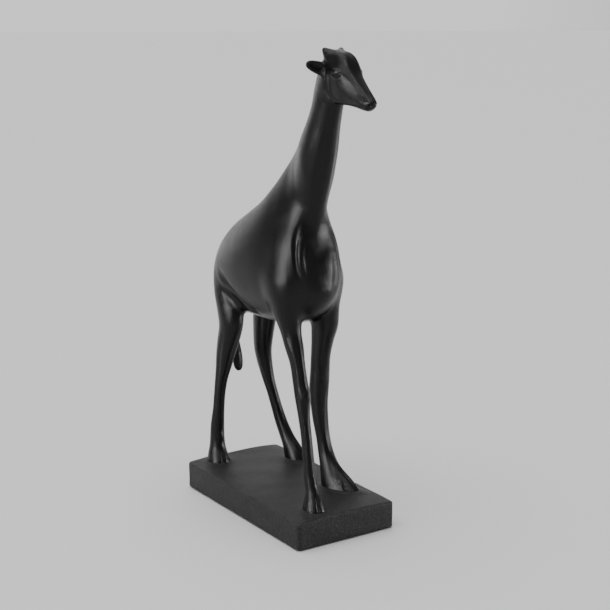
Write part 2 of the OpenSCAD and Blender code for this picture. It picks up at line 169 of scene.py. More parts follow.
# Fillets where one shape runs into another, mm
TRUNK_BLEND, FRONT_LEG_BLEND, HIND_LEG_BLEND, TAIL_BLEND = 0.5, 5, 4, 3
EAR_BLEND, OSSICONE_BLEND, CUP_BLEND = 2.5, 2, 0.6
# Creases that are blurred: low corner, high corner, fade, rounds
MELTS = [
    ((-100, -60, 150), (64, 60, 290), 14, 12),
    ((26, -30, 196), (70, 34, 262), 8, 16),
]
HEAD_ROW = 11  # the head's block starts at this row of the trunk


# ---------------------------------------------------------------------------
# Lofts
# ---------------------------------------------------------------------------
def smooth_rows(rows, steps):
    """The rows with extra rows between them on a smooth curve."""
    p = np.array(rows, float)
    last = len(p) - 1
    t = (np.arange(steps) / steps)[:, None]
    parts = []
    for i in range(last):
        a, b, c, d = p[max(i - 1, 0)], p[i], p[i + 1], p[min(i + 2, last)]
        parts.append(0.5 * (2 * b + (c - a) * t + (2 * a - 5 * b + 4 * c - d) * t**2
                            + (3 * b - a - 3 * c + d) * t**3))
    return np.concatenate(parts + [p[last:]])


def face_section(sides):
    """Across and up of the face's section at even steps round it, from the top."""
    half = smooth_rows(FACE, 12)
    length = np.concatenate([[0], np.cumsum(np.linalg.norm(np.diff(half, axis=0), axis=1))])
    where = np.linspace(0, length[-1], sides // 2 + 1)
    across, up = np.interp(where, length, half[:, 0]), np.interp(where, length, half[:, 1])
    return np.concatenate([across, -across[-2:0:-1]]), np.concatenate([up, up[-2:0:-1]])


def trunk_rings(rows, sides=TRUNK_SIDES):
    """Rings across the trunk, each on its own slanted plane."""
    rows = smooth_rows(rows, STEPS)
    angle = np.arange(sides) * 2 * np.pi / sides
    face_across, face_up = face_section(sides)
    rings = []
    for top_x, top_z, low_x, low_z, wide, full, face in rows:
        up = np.cos(angle) * (1 - face) + face_up * face
        across = np.sin(angle) * (1 - full * np.cos(angle)) * (1 - face) + face_across * face
        rings.append(np.stack([
            (top_x + low_x) / 2 + (top_x - low_x) / 2 * up, wide * across,
            (top_z + low_z) / 2 + (top_z - low_z) / 2 * up], axis=1))
    return np.array(rings)


def leg_rings(rows, sides=LEG_SIDES):
    """Level ellipses down a leg or the tail."""
    angle = np.arange(sides) * 2 * np.pi / sides
    rings = []
    for x, y, z, long, wide, yaw in smooth_rows(rows, STEPS):
        along, across, turn = long * np.cos(angle), wide * np.sin(angle), math.radians(yaw)
        rings.append(np.stack([x + along * math.cos(turn) - across * math.sin(turn),
                               y + along * math.sin(turn) + across * math.cos(turn),
                               np.full(sides, z)], axis=1))
    return np.array(rings)


def way_rings(rows, base, way, upright=(0, 0, 1), sides=40):
    """Rings along a straight line: rows of along, half height, half thickness."""
    way = np.array(way, float) / np.linalg.norm(way)
    thick = np.cross(way, upright)
    thick /= np.linalg.norm(thick)
    high = np.cross(thick, way)
    angle = np.arange(sides) * 2 * np.pi / sides
    return np.array([
        np.array(base) + way * along + np.outer(np.cos(angle) * h, high)
        + np.outer(np.sin(angle) * t, thick)
        for along, h, t in smooth_rows(rows, STEPS)])


# ---------------------------------------------------------------------------
# Distance fields
# ---------------------------------------------------------------------------
class Block:
    """A box of voxels that holds the distance to a shape's surface, negative inside."""

    def __init__(self, low, high, voxel):
        self.voxel = voxel
        self.low = np.floor(np.array(low) / voxel).astype(int)
        self.shape = tuple(np.ceil(np.array(high) / voxel).astype(int) - self.low)
        self.field = np.full(self.shape, FAR, np.float32)

    def window(self, low, high):
        """Slices of the part of the block between two corners."""
        a = np.clip(np.floor(np.array(low) / self.voxel).astype(int) - self.low, 0, self.shape)
        b = np.clip(np.ceil(np.array(high) / self.voxel).astype(int) - self.low, 0, self.shape)
        return tuple(slice(int(i), int(j)) for i, j in zip(a, b))

    def add_loft(self, rings, blend):
        """Joins a closed loft to what is there, with a fillet of about blend mm."""
        low, high = rings.min((0, 1)) - FAR, rings.max((0, 1)) + FAR
        part = self.window(low, high)
        there = self.field[part]
        mine = loft_field(rings, self.voxel, self.low + [s.start for s in part], there.shape)
        self.field[part] = smooth_min(there, mine, blend)

    def cut_loft(self, rings, blend):
        """Takes a closed loft away, with a rounded edge of about blend mm."""
        part = self.window(rings.min((0, 1)) - FAR, rings.max((0, 1)) + FAR)
        there = self.field[part]
        mine = loft_field(rings, self.voxel, self.low + [s.start for s in part], there.shape)
        self.field[part] = -smooth_min(-there, mine, blend)

    def melt(self, low, high, fade, rounds):
        """Blurs the creases between two corners; the effect fades in over some mm."""
        part = self.window(low, high)
        grids = np.ogrid[tuple(slice(self.low[i] + s.start, self.low[i] + s.stop)
                               for i, s in enumerate(part))]
        share = 1.0
        for grid, a, b in zip(grids, low, high):
            inside = np.minimum(grid * self.voxel - a, b - grid * self.voxel) / fade
            inside = np.clip(inside, 0, 1)
            share = share * inside * inside * (3 - 2 * inside)
        there = self.field[part]
        self.field[part] = there + share * (soften(there, rounds) - there)

    def mesh(self):
        """Points in mm and quads of the surface."""
        grid = vdb.FloatGrid(FAR)
        grid.gridClass = vdb.GridClass.LEVEL_SET
        grid.transform = vdb.createLinearTransform(self.voxel)
        grid.copyFromArray(self.field, ijk=tuple(int(i) for i in self.low), tolerance=1e-4)
        points, quads = grid.convertToQuads(isovalue=0.0)
        return points.astype(float), quads[:, ::-1].astype(int)


def smooth_min(a, b, blend):
    """The smaller distance, rounded where the two are within blend of each other."""
    rise = np.maximum(blend - np.abs(a - b), 0)
    return np.minimum(a, b) - rise * rise / (4 * blend)


def loft_field(rings, voxel, low, shape):
    """Distances to a closed loft, on the voxels of a box."""
    count, sides = rings.shape[:2]
    points = np.concatenate([rings.reshape(-1, 3), rings[[0, -1]].mean(1)]).astype(np.float32)
    step = np.arange(sides)
    turn = (step + 1) % sides
    quads = np.concatenate([
        np.stack([r * sides + step, r * sides + turn, (r + 1) * sides + turn, (r + 1) * sides + step], 1)
        for r in range(count - 1)]).astype(np.uint32)
    first, last = count * sides, count * sides + 1
    caps = np.concatenate([
        np.stack([turn, step, np.full(sides, first)], 1),
        np.stack([(count - 1) * sides + step, (count - 1) * sides + turn, np.full(sides, last)], 1),
    ]).astype(np.uint32)
    grid = vdb.FloatGrid.createLevelSetFromPolygons(
        points, triangles=caps, quads=quads,
        transform=vdb.createLinearTransform(voxel), halfWidth=FAR / voxel)
    out = np.empty(shape, np.float32)
    grid.copyToArray(out, ijk=tuple(int(i) for i in low))
    return out


def soften(field, rounds):
    """A light blur of the distances, which rounds off small facets."""
    for _ in range(rounds):
        for axis in range(3):
            padded = np.concatenate([field.take([0], axis), field, field.take([-1], axis)], axis)
            n = field.shape[axis]
            shift = [slice(None)] * 3
            parts = []
            for k in range(3):
                shift[axis] = slice(k, k + n)
                parts.append(padded[tuple(shift)])
            field = (parts[0] + 2 * parts[1] + parts[2]) / 4
    return field


# ---------------------------------------------------------------------------
# Figure
# ---------------------------------------------------------------------------
body = Block((-96, -48, 16), (84, 50, 356), BODY_VOXEL)
body.add_loft(trunk_rings(TRUNK), TRUNK_BLEND)
for rows in (FRONT_RIGHT, FRONT_LEFT):
    body.add_loft(leg_rings(rows), FRONT_LEG_BLEND)
for rows in (HIND_RIGHT, HIND_LEFT):
    body.add_loft(leg_rings(rows), HIND_LEG_BLEND)
for low, high, fade, rounds in MELTS:
    body.melt(low, high, fade, rounds)
body.add_loft(leg_rings(TAIL), TAIL_BLEND)
body.field = soften(body.field, 1)


def same(v):
    return v


def mirrored(v):
    return (v[0], -v[1], v[2])


head = Block((30, -34, 320), (124, 34, 392), HEAD_VOXEL)
head.add_loft(trunk_rings(TRUNK[HEAD_ROW:]), TRUNK_BLEND)
for side in (same, mirrored):
    ossicone = way_rings(OSSICONE, side(OSSICONE_BASE), side(OSSICONE_WAY), (1, 0, 0))
    head.add_loft(ossicone, OSSICONE_BLEND)
    head.add_loft(way_rings(EAR, side(EAR_BASE), side(EAR_WAY)), EAR_BLEND)
for side in (same, mirrored):
    x, y, z = side(EAR_BASE)
    head.cut_loft(way_rings(EAR_CUP, (x + EAR_CUP_FORWARD, y, z), side(EAR_WAY)), CUP_BLEND)
head.field = soften(head.field, 1)


# ---------------------------------------------------------------------------
# Meshes
# ---------------------------------------------------------------------------
def vertex_normals(points, quads):
    """Each point's normal, from the quads round it by their area."""
    a, b = points[quads[:, 2]] - points[quads[:, 0]], points[quads[:, 3]] - points[quads[:, 1]]
    face = np.cross(a, b)
    normals = np.zeros_like(points)
    for k in range(4):
        for axis in range(3):
            normals[:, axis] += np.bincount(quads[:, k], face[:, axis], len(points))
    return normals / np.maximum(np.linalg.norm(normals, axis=1, keepdims=True), 1e-12)


def sculpt(points, quads, strokes):
    """Pushes the surface in or out along each stroke.
    A stroke is a list of points on the surface, each with a radius and a height in mm."""
    for rounds in strokes:
        normals = vertex_normals(points, quads)
        push = np.zeros(len(points))
        for stroke in rounds:
            line = smooth_rows(stroke, 10)
            low, high = line[:, :3].min(0) - line[:, 3].max(), line[:, :3].max(0) + line[:, 3].max()
            near = np.flatnonzero(np.all((points > low) & (points < high), axis=1))
            best = np.zeros(len(near))
            for x, y, z, radius, height in line:
                t = np.linalg.norm(points[near] - (x, y, z), axis=1) / radius
                value = height * np.where(t < 1, (1 - t * t) ** 2, 0)
                best = np.where(np.abs(value) > np.abs(best), value, best)
            push[near] += best
        points = points + normals * push[:, None]
    return points


def make_bmesh(points, quads):
    """The surface in metres, which carries its normals through cuts."""
    normals = vertex_normals(points, quads)
    mesh = bpy.data.meshes.new("sculpt")
    mesh.from_pydata(points * MM, [], quads.tolist())
    layer = mesh.attributes.new("smooth_way", "FLOAT_VECTOR", "POINT")
    layer.data.foreach_set("vector", normals.astype(np.float32).ravel())
    bm = bmesh.new()
    bm.from_mesh(mesh)
    bpy.data.meshes.remove(mesh)
    return bm


def cut(bm, at, way, pick):
    """Splits the faces that pick() takes along a plane."""
    faces = [f for f in bm.faces if pick(f.calc_center_median() / MM)]
    edges = list({e for f in faces for e in f.edges})
    verts = list({v for f in faces for v in f.verts})
    bmesh.ops.bisect_plane(bm, geom=faces + edges + verts, dist=1e-7,
                           plane_co=Vector(at) * MM, plane_no=Vector(way))


def open_loops(bm):
    """The open edges, one list for each closed loop."""
    left = {e for e in bm.edges if e.is_boundary}
    loops = []
    while left:
        loop, ends = [], [left.pop()]
        while ends:
            edge = ends.pop()
            loop.append(edge)
            joined = [e for v in edge.verts for e in v.link_edges if e in left]
            left.difference_update(joined)
            ends.extend(joined)
        loops.append(loop)
    return loops


def take(bm, name, pick, material):
    """A closed object of the faces that pick() takes, with the surface's own smooth shading
    and flat caps at its seams."""
    part = bm.copy()
    bmesh.ops.delete(part, geom=[f for f in part.faces if not pick(f.calc_center_median() / MM)],
                     context="FACES")
    for f in part.faces:
        f.smooth = True
    for loop in open_loops(part):
        filled = bmesh.ops.triangle_fill(part, use_beauty=True, use_dissolve=False, edges=loop)
        for f in filled["geom"]:
            if isinstance(f, bmesh.types.BMFace):
                f.smooth = False
    bmesh.ops.recalc_face_normals(part, faces=part.faces)
    if part.calc_volume(signed=True) < 0:
        bmesh.ops.reverse_faces(part, faces=part.faces)
    mesh = bpy.data.meshes.new(name)
    part.to_mesh(mesh)
    part.free()
    set_normals(mesh)
    mesh.materials.append(material)
    obj = bpy.data.objects.new(name, mesh)
    bpy.context.scene.collection.objects.link(obj)
    return obj


def read_all(items, field, kind, width=1):
    """One value or vector of each item of a mesh, as an array."""
    values = np.zeros(len(items) * width, kind)
    items.foreach_get(field, values)
    return values.reshape(-1, width) if width > 1 else values


def set_normals(mesh):
    """Gives smooth faces the sculpted surface's normals, and flat ones their own."""
    ways = read_all(mesh.attributes["smooth_way"].data, "vector", np.float32, 3)
    ways /= np.maximum(np.linalg.norm(ways, axis=1, keepdims=True), 1e-9)
    corner_ways = ways[read_all(mesh.loops, "vertex_index", int)]
    face_ways = read_all(mesh.polygons, "normal", np.float32, 3)
    owner = np.repeat(np.arange(len(mesh.polygons)), read_all(mesh.polygons, "loop_total", int))
    flat = ~read_all(mesh.polygons, "use_smooth", bool)[owner]
    corner_ways[flat] = face_ways[owner[flat]]
    mesh.normals_split_custom_set(corner_ways.tolist())
    mesh.attributes.remove(mesh.attributes["smooth_way"])


def place(obj, node):
    """Puts a piece in a CAD node's stead."""
    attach(obj, "root")
    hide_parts(node)


# ---------------------------------------------------------------------------
# Materials
# ---------------------------------------------------------------------------
def new_material(name):
    """A material, its nodes and links, and its shader."""
    material = bpy.data.materials.new(name)
    material.use_nodes = True
    nodes, links = material.node_tree.nodes, material.node_tree.links
    return material, nodes, links, nodes["Principled BSDF"]


def noise(nodes, links, scale, detail=3.0, roughness=0.6):
    """The values of a noise in the piece's own coordinates."""
    where = nodes.get("Texture Coordinate") or nodes.new("ShaderNodeTexCoord")
    texture = nodes.new("ShaderNodeTexNoise")
    texture.inputs["Scale"].default_value = scale
    texture.inputs["Detail"].default_value = detail
    texture.inputs["Roughness"].default_value = roughness
    links.new(where.outputs["Object"], texture.inputs["Vector"])
    return texture.outputs["Fac"]


def ramp(nodes, links, source, low, high, out_low, out_high):
    """A value that runs from out_low to out_high as source runs from low to high."""
    node = nodes.new("ShaderNodeMapRange")
    node.inputs["From Min"].default_value = low
    node.inputs["From Max"].default_value = high
    node.inputs["To Min"].default_value = out_low
    node.inputs["To Max"].default_value = out_high
    links.new(source, node.inputs["Value"])
    return node.outputs["Result"]


def two_colours(nodes, links, share, first, second):
    """A colour that runs from first to second with share."""
    mix = nodes.new("ShaderNodeMix")
    mix.data_type = "RGBA"
    share_in, first_in, second_in, colour_out = 0, 6, 7, 2  # sockets of a colour mix
    mix.inputs[first_in].default_value = (*first, 1)
    mix.inputs[second_in].default_value = (*second, 1)
    links.new(share, mix.inputs[share_in])
    return mix.outputs[colour_out]


def bump(nodes, links, source, distance, strength=1.0, under=None):
    """A normal bumped by source, over the one under it."""
    node = nodes.new("ShaderNodeBump")
    node.inputs["Strength"].default_value = strength
    node.inputs["Distance"].default_value = distance
    links.new(source, node.inputs["Height"])
    if under:
        links.new(under, node.inputs["Normal"])
    return node.outputs["Normal"]


def satin_black(name, colour, sparkle_colour, rough, grain, wave, specular, fineness):
    """Black paint with a stipple and painted sparkle: its lighter flecks in the base colour stand in for
    the stipple's glints. grain and wave are the depths of the fine and the broad
    unevenness in metres, and fineness is the stipple's scale."""
    material, nodes, links, shader = new_material(name)
    shader.inputs["Specular IOR Level"].default_value = specular
    broad, fine = noise(nodes, links, 30, 3), noise(nodes, links, fineness, 2, 0.7)
    # painted sparkle: lighter flecks of base colour on the stipple's fine noise, standing in for its
    # glints
    sparkle_share = ramp(nodes, links, fine, 0.52, 0.74, 0.0, 1.0)
    links.new(two_colours(nodes, links, sparkle_share, colour, sparkle_colour), shader.inputs["Base Color"])
    unevenness = ramp(nodes, links, broad, 0.3, 0.7, rough - 0.03, rough + 0.05)
    links.new(unevenness, shader.inputs["Roughness"])
    swell = bump(nodes, links, broad, wave)
    links.new(bump(nodes, links, fine, grain, under=swell), shader.inputs["Normal"])
    return material


def steel(name, colour, rough):
    """Machined metal with fine scratches and dull patches."""
    material, nodes, links, shader = new_material(name)
    shader.inputs["Metallic"].default_value = 1
    patches, scratches = noise(nodes, links, 60, 3), noise(nodes, links, 1600, 4)
    dull = ramp(nodes, links, patches, 0.4, 0.7, 0.0, 1.0)
    dark = [0.72 * c for c in colour]
    links.new(two_colours(nodes, links, dull, colour, dark), shader.inputs["Base Color"])
    unevenness = ramp(nodes, links, scratches, 0.3, 0.7, rough - 0.06, rough + 0.08)
    links.new(unevenness, shader.inputs["Roughness"])
    links.new(bump(nodes, links, scratches, 0.00005, strength=0.5), shader.inputs["Normal"])
    return material


def felt(name, dark, light):
    """Matted wool: specks of two greys, a soft pile and a sheen."""
    material, nodes, links, shader = new_material(name)
    shader.inputs["Roughness"].default_value = 0.95
    shader.inputs["Specular IOR Level"].default_value = 0.1
    shader.inputs["Sheen Weight"].default_value = 0.35
    fibres, clumps = noise(nodes, links, 1100, 5, 0.75), noise(nodes, links, 160, 3)
    specks = ramp(nodes, links, fibres, 0.35, 0.7, 0.0, 1.0)
    links.new(two_colours(nodes, links, specks, dark, light), shader.inputs["Base Color"])
    pile = bump(nodes, links, clumps, 0.0003)
    links.new(bump(nodes, links, fibres, 0.0002, under=pile), shader.inputs["Normal"])
    return material


# The lighter fleck colours below are painted sparkle: the stipple's glints painted into the base colour.
FIGURE = satin_black(
    "satin_black", colour=(0.006, 0.0058, 0.0068), sparkle_colour=(0.012, 0.0115, 0.0135), rough=0.2,
    grain=0.00022, wave=0.0004, specular=0.2, fineness=1300)
PLINTH = satin_black(
    "plinth_black", colour=(0.016, 0.016, 0.0165), sparkle_colour=(0.075, 0.075, 0.077), rough=0.42,
    grain=0.0006, wave=0.0008, specular=0.2, fineness=950)
STEEL = steel("bright_steel", (0.55, 0.55, 0.56), 0.3)
ZINC = steel("zinc_plated_steel", (0.62, 0.64, 0.66), 0.38)
FELT = felt("black_felt", (0.006, 0.006, 0.0065), (0.035, 0.035, 0.037))


# ---------------------------------------------------------------------------
# Figure pieces
# ---------------------------------------------------------------------------
def both_sides(strokes):
    """Each stroke, and the same on the animal's other side."""
    return strokes + [[(x, -y, z, r, h) for x, y, z, r, h in stroke] for stroke in strokes]


def flute(rows, angle, high, low, radius, height):
    """A stroke down a leg's surface between two heights, at an angle from its front."""
    line = smooth_rows(rows, 2)
    line = line[(line[:, 2] <= high) & (line[:, 2] >= low)]
    turn = np.radians(line[:, 5] + angle)
    way = np.column_stack([np.cos(turn), np.sin(turn)])
    reach = line[:, 3] * line[:, 4] / np.hypot(line[:, 4] * math.cos(math.radians(angle)),
                                               line[:, 3] * math.sin(math.radians(angle)))
    at = line[:, :2] + way * reach[:, None]
    fade = np.sin(np.linspace(0, math.pi, len(line))) ** 0.7
    return [(x, y, z, radius, height * f) for (x, y), z, f in zip(at, line[:, 2], fade)]


# Strokes on the body, in rounds. A stroke's points: x, y, z, radius, height.
STROKES = [both_sides([
    # shoulder
    [(33, -24.5, 230, 24, 0), (33.5, -24.7, 229, 24, 1.2), (34, -25, 228, 24, 0)],
    # flank tucked up in front of the thigh
    [(-60, -31, 198, 7, 0), (-51, -31, 191, 9, -3), (-43, -30.5, 184, 10, -4.5),
     (-35, -29, 178, 10, -4.5), (-27, -27, 173.5, 9, -3.5), (-17, -24, 170, 7, -1.5),
     (-8, -21, 168, 6, 0)],
]), both_sides([
    # front of the thigh behind it
    [(-62, -27, 188, 6, 0), (-54, -27, 181, 8, -2.5), (-46, -26, 175, 8.5, -3.5), (-38, -25, 170, 8, -2.5),
     (-30, -23, 167, 6, 0)],
]), both_sides([
    # groove between the neck's base and the shoulder
    [(44, -12, 256, 3.5, 0), (41.5, -16, 249, 3.6, -0.5), (41.2, -18.6, 240, 3.6, -1.1),
     (43.6, -20.5, 228, 3.6, -1.6), (46.8, -21.6, 217, 3.6, -1.2), (49.6, -20.8, 207, 3.6, 0)],
    # hollow beside the breastbone
    [(50, -11, 226, 5, 0), (51, -12.2, 220, 6, -0.6), (53, -12, 213, 6, -1.0), (53.5, -11, 203, 6, -0.8),
     (52, -9, 192, 6, 0)],
    # groove down the side of the neck
    [(71.5, -4, 342, 4, 0), (69.6, -6, 332, 5, -0.6), (66, -7.5, 318, 5.5, -0.9), (61.4, -8, 302, 6, -0.9),
     (56, -8, 286, 6, -0.8), (51.5, -7.5, 272, 6, -0.5), (48, -7, 260, 6, 0)],
]), [
    # fold in front of the right shoulder's groove
    [(46.5, -13, 241, 4, 0), (45.9, -16, 237, 4.8, 0.9), (46.6, -18.3, 227, 5.2, 1.5),
     (48.8, -18.4, 217, 4.8, 1.2), (51, -17.5, 207.5, 3.5, 0)],
    # left side of the breast
    [(51, 8, 217.5, 15, 0), (51.2, 8, 217, 15, 1.3), (51.4, 8, 216.5, 15, 0)],
    # tendons and bones of the legs
    flute(FRONT_RIGHT, 35, 165, 40, 3.2, -0.9),
    flute(FRONT_RIGHT, 0, 165, 112, 3.6, 0.6),
    flute(FRONT_RIGHT, -80, 158, 44, 3.4, -0.8),
    flute(FRONT_LEFT, -19, 178, 122, 3.6, -1.0),
    flute(FRONT_LEFT, -75, 172, 40, 3.8, -0.8),
    flute(FRONT_LEFT, 20, 105, 40, 3.2, -0.8),
    flute(FRONT_LEFT, 100, 172, 40, 3.8, -0.8),
    flute(HIND_LEFT, -52, 172, 112, 3.4, -1.0),
    flute(HIND_LEFT, -8, 178, 112, 3.4, -0.9),
    flute(HIND_LEFT, -70, 108, 40, 3.2, -0.9),
    flute(HIND_LEFT, 110, 165, 44, 3.4, -0.8),
    flute(HIND_RIGHT, -75, 150, 44, 3.6, -0.8),
    flute(HIND_RIGHT, 5, 150, 60, 3.4, -0.8),
    flute(HIND_RIGHT, 110, 150, 44, 3.4, -0.7),
], [
    # knees, hocks and fetlocks
    [(57.5, -17.5, 116, 6, 0), (58, -18, 114, 7, 1.0), (58.5, -18.5, 112, 6, 0)],
    [(24, 18, 121, 7, 0), (24, 18, 118, 8, 0.9), (24, 18, 115, 7, 0)],
    [(-85.5, -22, 76, 6, 0), (-86, -22, 72, 7, 0.9), (-86, -22, 68, 6, 0)],
    [(-84, 26, 109, 6, 0), (-84.5, 26, 105, 7, 0.9), (-84, 26.5, 101, 6, 0)],
    [(71.5, -21.5, 51, 4, 0), (72, -21.5, 48.5, 5, 0.8), (73, -21.5, 46, 4, 0)],
    [(-71, -24, 50, 4, 0), (-71, -24, 47, 5, 0.7), (-71, -24, 44, 4, 0)],
    # clefts of the hooves
    flute(FRONT_RIGHT, -12, 41, 23, 2.2, -1.3),
    flute(FRONT_LEFT, -4, 41, 23, 2.4, -1.4),
    flute(HIND_RIGHT, -8, 40, 23, 2.2, -1.2),
    flute(HIND_LEFT, -4, 40, 23, 2.2, -1.2),
    flute(FRONT_LEFT, -45, 37, 23, 3.0, 0.9),
    flute(FRONT_LEFT, 40, 37, 23, 3.0, 0.8),
]]

points, quads = body.mesh()
figure = make_bmesh(sculpt(points, quads, STROKES), quads)

# Which way each leg lies from the middle: forward or back, left or right.
LEGS = {
    "front_right_leg": (1, -1), "front_left_leg": (1, 1),
    "hind_right_leg": (-1, -1), "hind_left_leg": (-1, 1),
}
LEG_INNER_Y, LEG_TOP_Z = 10, 170
TAIL_FRONT_X, TAIL_SIDE_Y, SEAM_MARGIN = -82, 8, 6
NECK_LOWEST_Z, THROAT_X, CHIN_X = 240, 76, 80
UP = (0, 0, 1)
leg_seam_z = {name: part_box(name)[1].z / MM for name in LEGS}
neck_low, neck_high = Vector(NECK_SEAM[0]), Vector(NECK_SEAM[1])
neck_way = Vector((0, 1, 0)).cross(neck_high - neck_low)


def in_leg(c, fore, side):
    return c.x * fore > 0 and c.y * side > LEG_INNER_Y and c.z < LEG_TOP_Z


def in_tail(c):
    return c.x < TAIL_FRONT_X and abs(c.y) < TAIL_SIDE_Y and c.z < TAIL_SEAM_Z + SEAM_MARGIN


def above_neck_seam(c):
    return (c - neck_low).dot(neck_way) > 0 and c.z > NECK_LOWEST_Z


def is_neck(c):
    return above_neck_seam(c) and c.z < HEAD_SEAM_Z and c.x < THROAT_X


def is_leg(c, name):
    return in_leg(c, *LEGS[name]) and c.z < leg_seam_z[name]


def is_tail(c):
    return in_tail(c) and c.z < TAIL_SEAM_Z


def is_torso(c):
    return not (above_neck_seam(c) or is_tail(c) or any(is_leg(c, name) for name in LEGS))


for name, (fore, side) in LEGS.items():
    cut(figure, (0, 0, leg_seam_z[name]), UP, lambda c: in_leg(c, fore, side))
cut(figure, (0, 0, TAIL_SEAM_Z), UP, in_tail)
cut(figure, neck_low, neck_way, lambda c: c.z > NECK_LOWEST_Z - SEAM_MARGIN)
cut(figure, (0, 0, HEAD_SEAM_Z), UP, lambda c: c.z > HEAD_SEAM_Z - SEAM_MARGIN and c.x < CHIN_X)

place(take(figure, "torso_casting", is_torso, FIGURE), "torso")
place(take(figure, "neck_casting", is_neck, FIGURE), "neck")
place(take(figure, "tail_casting", is_tail, FIGURE), "tail")
for name in LEGS:
    place(take(figure, name + "_casting", lambda c: is_leg(c, name), FIGURE), name)
figure.free()

# Strokes on the head.
HEAD_STROKES = [both_sides([
    # orbit
    [(80, -12.5, 369, 6, 0), (84.5, -12, 369, 7, 0.9), (88, -11, 368, 6, 0.5)],
    # edge between the bridge and the flat side of the face
    [(80, -3.5, 382.5, 2.6, 0), (84.5, -3.4, 380.4, 3, 0.4), (91, -4.3, 372.2, 3, 0.5),
     (95, -4.0, 367.4, 2.8, 0.6), (101, -3.6, 361.2, 2.6, 0.7), (106.6, -3.3, 356.4, 2.4, 0.7),
     (112.6, -3.2, 351.0, 2, 0.4), (116, -2.8, 348, 1.5, 0)],
    # cheek made flat below the eye
    [(86.5, -11.3, 363.5, 4, 0), (90.4, -9.9, 360.5, 5.5, -0.4), (96, -8.4, 357.3, 6, -0.65),
     (102.2, -6.8, 354.2, 5.5, -0.7), (108, -5.2, 351, 4.5, -0.5), (112, -4, 349, 3, 0)],
    # groove behind the jaw and the jaw's edge
    [(70, -11.5, 371, 3, 0), (71.5, -11.6, 364, 3.6, -0.9), (71, -10.2, 355, 4, -1.4),
     (73.5, -9, 348.5, 3.6, -1.4), (77, -7.5, 344.3, 3, -0.8), (80, -6, 343.5, 2.5, 0)],
    [(76.5, -11.7, 366, 2.5, 0), (75, -10.8, 358, 3, 0.5), (75.5, -9.5, 351.5, 3, 0.7),
     (79.5, -8.4, 348, 2.6, 0.6), (87, -7.4, 346.3, 2.4, 0.4), (97, -5.6, 345, 2, 0)],
]), both_sides([
    # eyeball, upper lid, fold above it and line under it
    [(82, -12, 368.6, 3, 0), (84, -11.9, 368.3, 3.2, 1.0), (86, -11.5, 368, 3, 0)],
    [(78.5, -12.2, 370.2, 1.8, 0), (82, -12.2, 370.6, 2.1, 0.7), (86, -11.8, 370.2, 2.1, 0.8),
     (89.8, -10, 367.6, 1.7, 0)],
    [(78.5, -12, 369, 1.2, 0), (81, -12.2, 367.2, 1.6, -0.9), (85, -11.9, 366.0, 1.8, -1.3),
     (89.8, -9.8, 365.4, 1.2, 0)],
    [(79.5, -11.8, 372.6, 1.2, 0), (82.5, -11.7, 373.2, 1.5, -0.5), (86.8, -10.7, 372.4, 1.5, -0.5),
     (90, -9.2, 369.4, 1.2, 0)],
    # nostril
    [(115, -3.9, 345.8, 1, 0), (115.8, -3.2, 345.4, 1.3, -1.3), (116.6, -2.3, 345.2, 1, 0)],
    [(114.8, -3.9, 348.0, 1.2, 0), (116.2, -2.8, 347.2, 1.4, 0.35), (117.2, -1.6, 346.6, 1, 0)],
    # mouth
    [(117, -1.5, 343.4, 0.9, 0), (113, -4.4, 343.2, 1.1, -0.5), (106, -6, 344.2, 1.2, -0.6),
     (99, -7, 345.6, 1, 0)],
])]
points, quads = head.mesh()
skull = make_bmesh(sculpt(points, quads, HEAD_STROKES), quads)

# Each ear and ossicone: where it starts, its way and its seam along that way.
TRIMS = {
    "right_ear": (EAR_BASE, EAR_WAY, EAR_SEAM),
    "left_ear": (mirrored(EAR_BASE), mirrored(EAR_WAY), EAR_SEAM),
    "right_ossicone": (OSSICONE_BASE, OSSICONE_WAY, OSSICONE_SEAM),
    "left_ossicone": (mirrored(OSSICONE_BASE), mirrored(OSSICONE_WAY), OSSICONE_SEAM),
}
TRIM_MARGIN = 1.5


def past_trim_seam(c, name):
    """How far a point near an ear or ossicone lies past its seam, or None away from it."""
    base, way, seam = TRIMS[name]
    way = Vector(way).normalized()
    off = c - Vector(base)
    along = off.dot(way)
    return along - seam if (off - way * along).length < TRIM_REACH else None


def in_trim(c, name):
    past = past_trim_seam(c, name)
    return past is not None and past > -TRIM_MARGIN


def is_trim(c, name):
    past = past_trim_seam(c, name)
    return past is not None and past > 0


def is_head(c):
    return (c.z > HEAD_SEAM_Z or c.x > CHIN_X) and not any(is_trim(c, name) for name in TRIMS)


cut(skull, (0, 0, HEAD_SEAM_Z), UP, lambda c: c.z < HEAD_SEAM_Z + SEAM_MARGIN and c.x < CHIN_X)
for name, (base, way, seam) in TRIMS.items():
    way = Vector(way).normalized()
    cut(skull, Vector(base) + way * seam, way, lambda c: in_trim(c, name))
place(take(skull, "head_casting", is_head, FIGURE), "head")
for name in TRIMS:
    place(take(skull, name + "_casting", lambda c: is_trim(c, name), FIGURE), name)
skull.free()

# ---------------------------------------------------------------------------
# Plinth and felt
# ---------------------------------------------------------------------------
plinth_low, plinth_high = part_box("plinth")
PLINTH_MIDDLE = (plinth_low + plinth_high) / 2 / MM
LENGTH, WIDTH = (plinth_high.x - plinth_low.x) / MM, (plinth_high.y - plinth_low.y) / MM
BOTTOM, TOP = plinth_low.z / MM, plinth_high.z / MM
CORNER, EASE, FOOT_EASE, UNEVEN = 3.0, 1.7, 0.6, 0.18
EDGE_DROP, CROWN, FRONT_DROP = 1.3, 1.5, 0.5
MOUND, MOUND_FADE = 1.4, 2.6
FELT_CORNER, FELT_RAGGED, FELT_ROUND = 2.0, 0.12, 0.25
HOOVES = [rows[-1] for rows in (FRONT_RIGHT, FRONT_LEFT, HIND_RIGHT, HIND_LEFT)]


